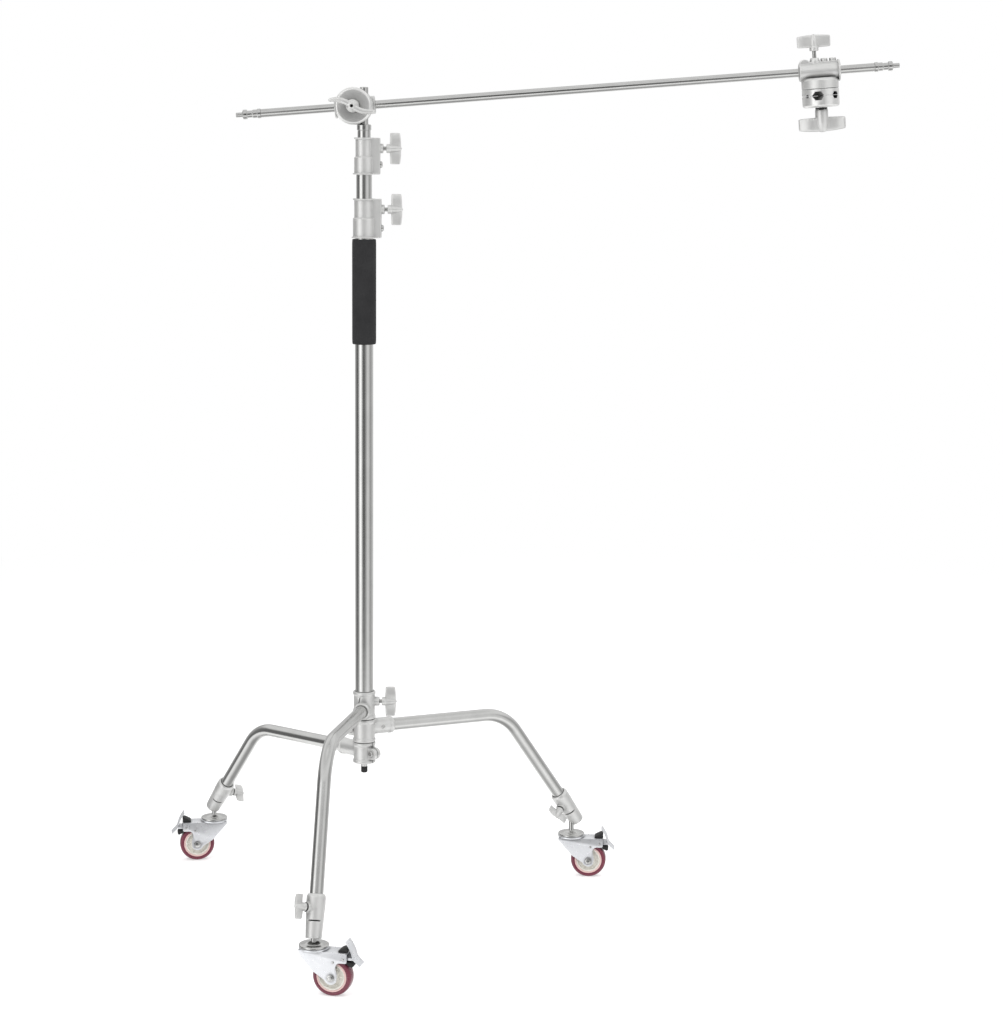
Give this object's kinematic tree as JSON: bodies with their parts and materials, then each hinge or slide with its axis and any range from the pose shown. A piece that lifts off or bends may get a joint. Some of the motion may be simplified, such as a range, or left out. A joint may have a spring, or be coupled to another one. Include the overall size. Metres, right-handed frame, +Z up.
{
  "type": "c stand",
  "caption": "Rolling century stand with a sliding leg, two riser sections, a boom arm and two grip heads, on three braked swivel casters",
  "frame": {"origin": "On the floor, under the middle of the stand's box", "axes": "+Z up the column. +X toward the boom's long end. +Y away from the front leg."},
  "size_m": [1.458, 0.9012, 1.7351],
  "materials": {
    "stainless_steel": "satin",
    "satin_casting": "satin",
    "zinc_plate": "gloss",
    "black_foam": "matte",
    "black_rubber": "matte",
    "maroon_tyre": "satin",
    "cream_hub": "satin"
  },
  "bodies": {
    "stand": {"column_tube": "stainless_steel", "grip_sleeve": "black_foam", "base_stud": "stainless_steel", "base_tip": "black_rubber", "low_casting": "satin_casting", "leg_left": "stainless_steel", "socket_left": "satin_casting", "kingpin_left": "stainless_steel", "lower_collar": "satin_casting", "lower_collar_screw": "stainless_steel"},
    "sliding_leg": {"sliding_collar": "satin_casting", "leg_front": "stainless_steel", "socket_front": "satin_casting", "kingpin_front": "stainless_steel"},
    "folding_leg": {"mid_casting": "satin_casting", "leg_right": "stainless_steel", "socket_right": "satin_casting", "kingpin_right": "stainless_steel"},
    "mid_section": {"riser_mid": "stainless_steel", "upper_collar": "satin_casting", "upper_collar_screw": "stainless_steel"},
    "top_section": {"riser_top": "stainless_steel", "top_pin": "stainless_steel"},
    "head_1_grip": {"head_1_inner_plate": "satin_casting", "head_1_outer_plate": "satin_casting", "head_1_washer": "black_rubber"},
    "head_1_receiver": {"head_1_body": "satin_casting"},
    "head_1_handle": {"head_1_handle": "satin_casting"},
    "head_1_screw": {"head_1_screw": "satin_casting"},
    "boom": {"arm_tube": "stainless_steel", "arm_spigot_right": "stainless_steel", "arm_spigot_left": "stainless_steel"},
    "head_2_receiver": {"head_2_body": "satin_casting"},
    "head_2_grip": {"head_2_inner_plate": "satin_casting", "head_2_outer_plate": "satin_casting", "head_2_washer": "black_rubber"},
    "head_2_handle": {"head_2_handle": "satin_casting"},
    "head_2_screw": {"head_2_screw": "satin_casting"},
    "lower_knob": {"lower_knob": "satin_casting"},
    "upper_knob": {"upper_knob": "satin_casting"},
    "sliding_knob": {"sliding_knob": "satin_casting"},
    "caster_front": {"fork_front": "zinc_plate", "axle_front": "stainless_steel"},
    "wheel_front": {"tyre_front": "maroon_tyre", "wheel_hub_front": "cream_hub"},
    "pedal_front": {"brake_pedal_front": "zinc_plate"},
    "socket_knob_front": {"socket_knob_front": "satin_casting"},
    "caster_left": {"fork_left": "zinc_plate", "axle_left": "stainless_steel"},
    "wheel_left": {"tyre_left": "maroon_tyre", "wheel_hub_left": "cream_hub"},
    "pedal_left": {"brake_pedal_left": "zinc_plate"},
    "socket_knob_left": {"socket_knob_left": "satin_casting"},
    "caster_right": {"fork_right": "zinc_plate", "axle_right": "stainless_steel"},
    "wheel_right": {"tyre_right": "maroon_tyre", "wheel_hub_right": "cream_hub"},
    "pedal_right": {"brake_pedal_right": "zinc_plate"},
    "socket_knob_right": {"socket_knob_right": "satin_casting"}
  },
  "joints": [
    {"name": "sliding_leg_slide", "type": "slide", "parent": "stand", "child": "sliding_leg", "axis": [0, 0, 1], "range_m": [0, 0.3]},
    {"name": "folding_leg_swing", "type": "hinge", "parent": "stand", "child": "folding_leg", "pos_m": [-0.29679, 0.07077, 0.3709], "axis": [0, 0, 1], "range_deg": [-60, 60]},
    {"name": "caster_swivel_front", "type": "hinge", "parent": "sliding_leg", "child": "caster_front", "pos_m": [-0.36075, -0.41504, 0.084], "axis": [0, 0, 1], "continuous": true},
    {"name": "wheel_spin_front", "type": "hinge", "parent": "caster_front", "child": "wheel_front", "pos_m": [-0.32524, -0.4239, 0.0365], "axis": [-0.2419, -0.9703, 0], "continuous": true},
    {"name": "pedal_tilt_front", "type": "hinge", "parent": "caster_front", "child": "pedal_front", "pos_m": [-0.30253, -0.42956, 0.073], "axis": [0.2419, 0.9703, 0], "range_deg": [0, 12]},
    {"name": "socket_knob_turn_front", "type": "hinge", "parent": "sliding_leg", "child": "socket_knob_front", "pos_m": [-0.3767, -0.41554, 0.1611], "axis": [-0.7311, -0.6287, 0.2651], "range_deg": [0, 360]},
    {"name": "caster_swivel_left", "type": "hinge", "parent": "stand", "child": "caster_left", "pos_m": [-0.63718, 0.42324, 0.084], "axis": [0, 0, 1], "continuous": true},
    {"name": "wheel_spin_left", "type": "hinge", "parent": "caster_left", "child": "wheel_left", "pos_m": [-0.67333, 0.41752, 0.0365], "axis": [-0.1564, 0.9877, 0], "continuous": true},
    {"name": "pedal_tilt_left", "type": "hinge", "parent": "caster_left", "child": "pedal_left", "pos_m": [-0.69644, 0.41386, 0.073], "axis": [0.1564, -0.9877, 0], "range_deg": [0, 12]},
    {"name": "socket_knob_turn_left", "type": "hinge", "parent": "stand", "child": "socket_knob_left", "pos_m": [-0.5946, 0.41112, 0.14965], "axis": [0.8819, 0.3914, -0.2627], "range_deg": [0, 360]},
    {"name": "caster_swivel_right", "type": "hinge", "parent": "folding_leg", "child": "caster_right", "pos_m": [0.12322, 0.32314, 0.084], "axis": [0, 0, 1], "continuous": true},
    {"name": "wheel_spin_right", "type": "hinge", "parent": "caster_right", "child": "wheel_right", "pos_m": [0.15973, 0.32058, 0.0365], "axis": [-0.0698, -0.9976, 0], "continuous": true},
    {"name": "pedal_tilt_right", "type": "hinge", "parent": "caster_right", "child": "pedal_right", "pos_m": [0.18307, 0.31895, 0.073], "axis": [0.0698, 0.9976, 0], "range_deg": [0, 12]},
    {"name": "socket_knob_turn_right", "type": "hinge", "parent": "folding_leg", "child": "socket_knob_right", "pos_m": [0.09837, 0.29391, 0.14924], "axis": [-0.3449, -0.7906, -0.506], "range_deg": [0, 360]},
    {"name": "lower_knob_turn", "type": "hinge", "parent": "stand", "child": "lower_knob", "pos_m": [-0.25149, 0.07077, 1.3945], "axis": [1, 0, 0], "range_deg": [0, 360]},
    {"name": "upper_knob_turn", "type": "hinge", "parent": "mid_section", "child": "upper_knob", "pos_m": [-0.25399, 0.07077, 1.5102], "axis": [1, 0, 0], "range_deg": [0, 360]},
    {"name": "sliding_knob_turn", "type": "hinge", "parent": "sliding_leg", "child": "sliding_knob", "pos_m": [-0.26179, 0.07077, 0.4287], "axis": [1, 0, 0], "range_deg": [0, 360]},
    {"name": "mid_section_slide", "type": "slide", "parent": "stand", "child": "mid_section", "axis": [0, 0, 1], "range_m": [-0.045, 0.85]},
    {"name": "top_section_slide", "type": "slide", "parent": "mid_section", "child": "top_section", "axis": [0, 0, 1], "range_m": [-0.013, 0.85]},
    {"name": "head_1_swivel", "type": "hinge", "parent": "top_section", "child": "head_1_grip", "pos_m": [-0.29679, 0.07077, 1.59], "axis": [0, 0, 1], "continuous": true},
    {"name": "head_1_tilt", "type": "hinge", "parent": "head_1_grip", "child": "head_1_receiver", "pos_m": [-0.31679, 0.11717, 1.59], "axis": [0, -1, 0], "range_deg": [-70, 70]},
    {"name": "head_1_handle_turn", "type": "hinge", "parent": "head_1_grip", "child": "head_1_handle", "pos_m": [-0.31679, 0.04437, 1.59], "axis": [0, -1, 0], "range_deg": [0, 360]},
    {"name": "head_1_screw_turn", "type": "hinge", "parent": "head_1_receiver", "child": "head_1_screw", "pos_m": [-0.30882, 0.15617, 1.59066], "axis": [0, 1, 0], "range_deg": [0, 360]},
    {"name": "boom_slide", "type": "slide", "parent": "head_1_receiver", "child": "boom", "axis": [0.9966, 0, 0.0819], "range_m": [-0.55, 0.11]},
    {"name": "head_2_roll", "type": "hinge", "parent": "boom", "child": "head_2_receiver", "pos_m": [0.5752, 0.11717, 1.66334], "axis": [0.9966, 0, 0.0819], "continuous": true},
    {"name": "head_2_turn", "type": "hinge", "parent": "head_2_receiver", "child": "head_2_grip", "pos_m": [0.5752, 0.11717, 1.66334], "axis": [0.0819, 0, -0.9966], "continuous": true},
    {"name": "head_2_handle_turn", "type": "hinge", "parent": "head_2_grip", "child": "head_2_handle", "pos_m": [0.58116, 0.11717, 1.59078], "axis": [0.0819, 0, -0.9966], "range_deg": [0, 360]},
    {"name": "head_2_screw_turn", "type": "hinge", "parent": "head_2_receiver", "child": "head_2_screw", "pos_m": [0.56403, 0.11717, 1.70155], "axis": [-0.0819, 0, 0.9966], "range_deg": [0, 360]}
  ]
}
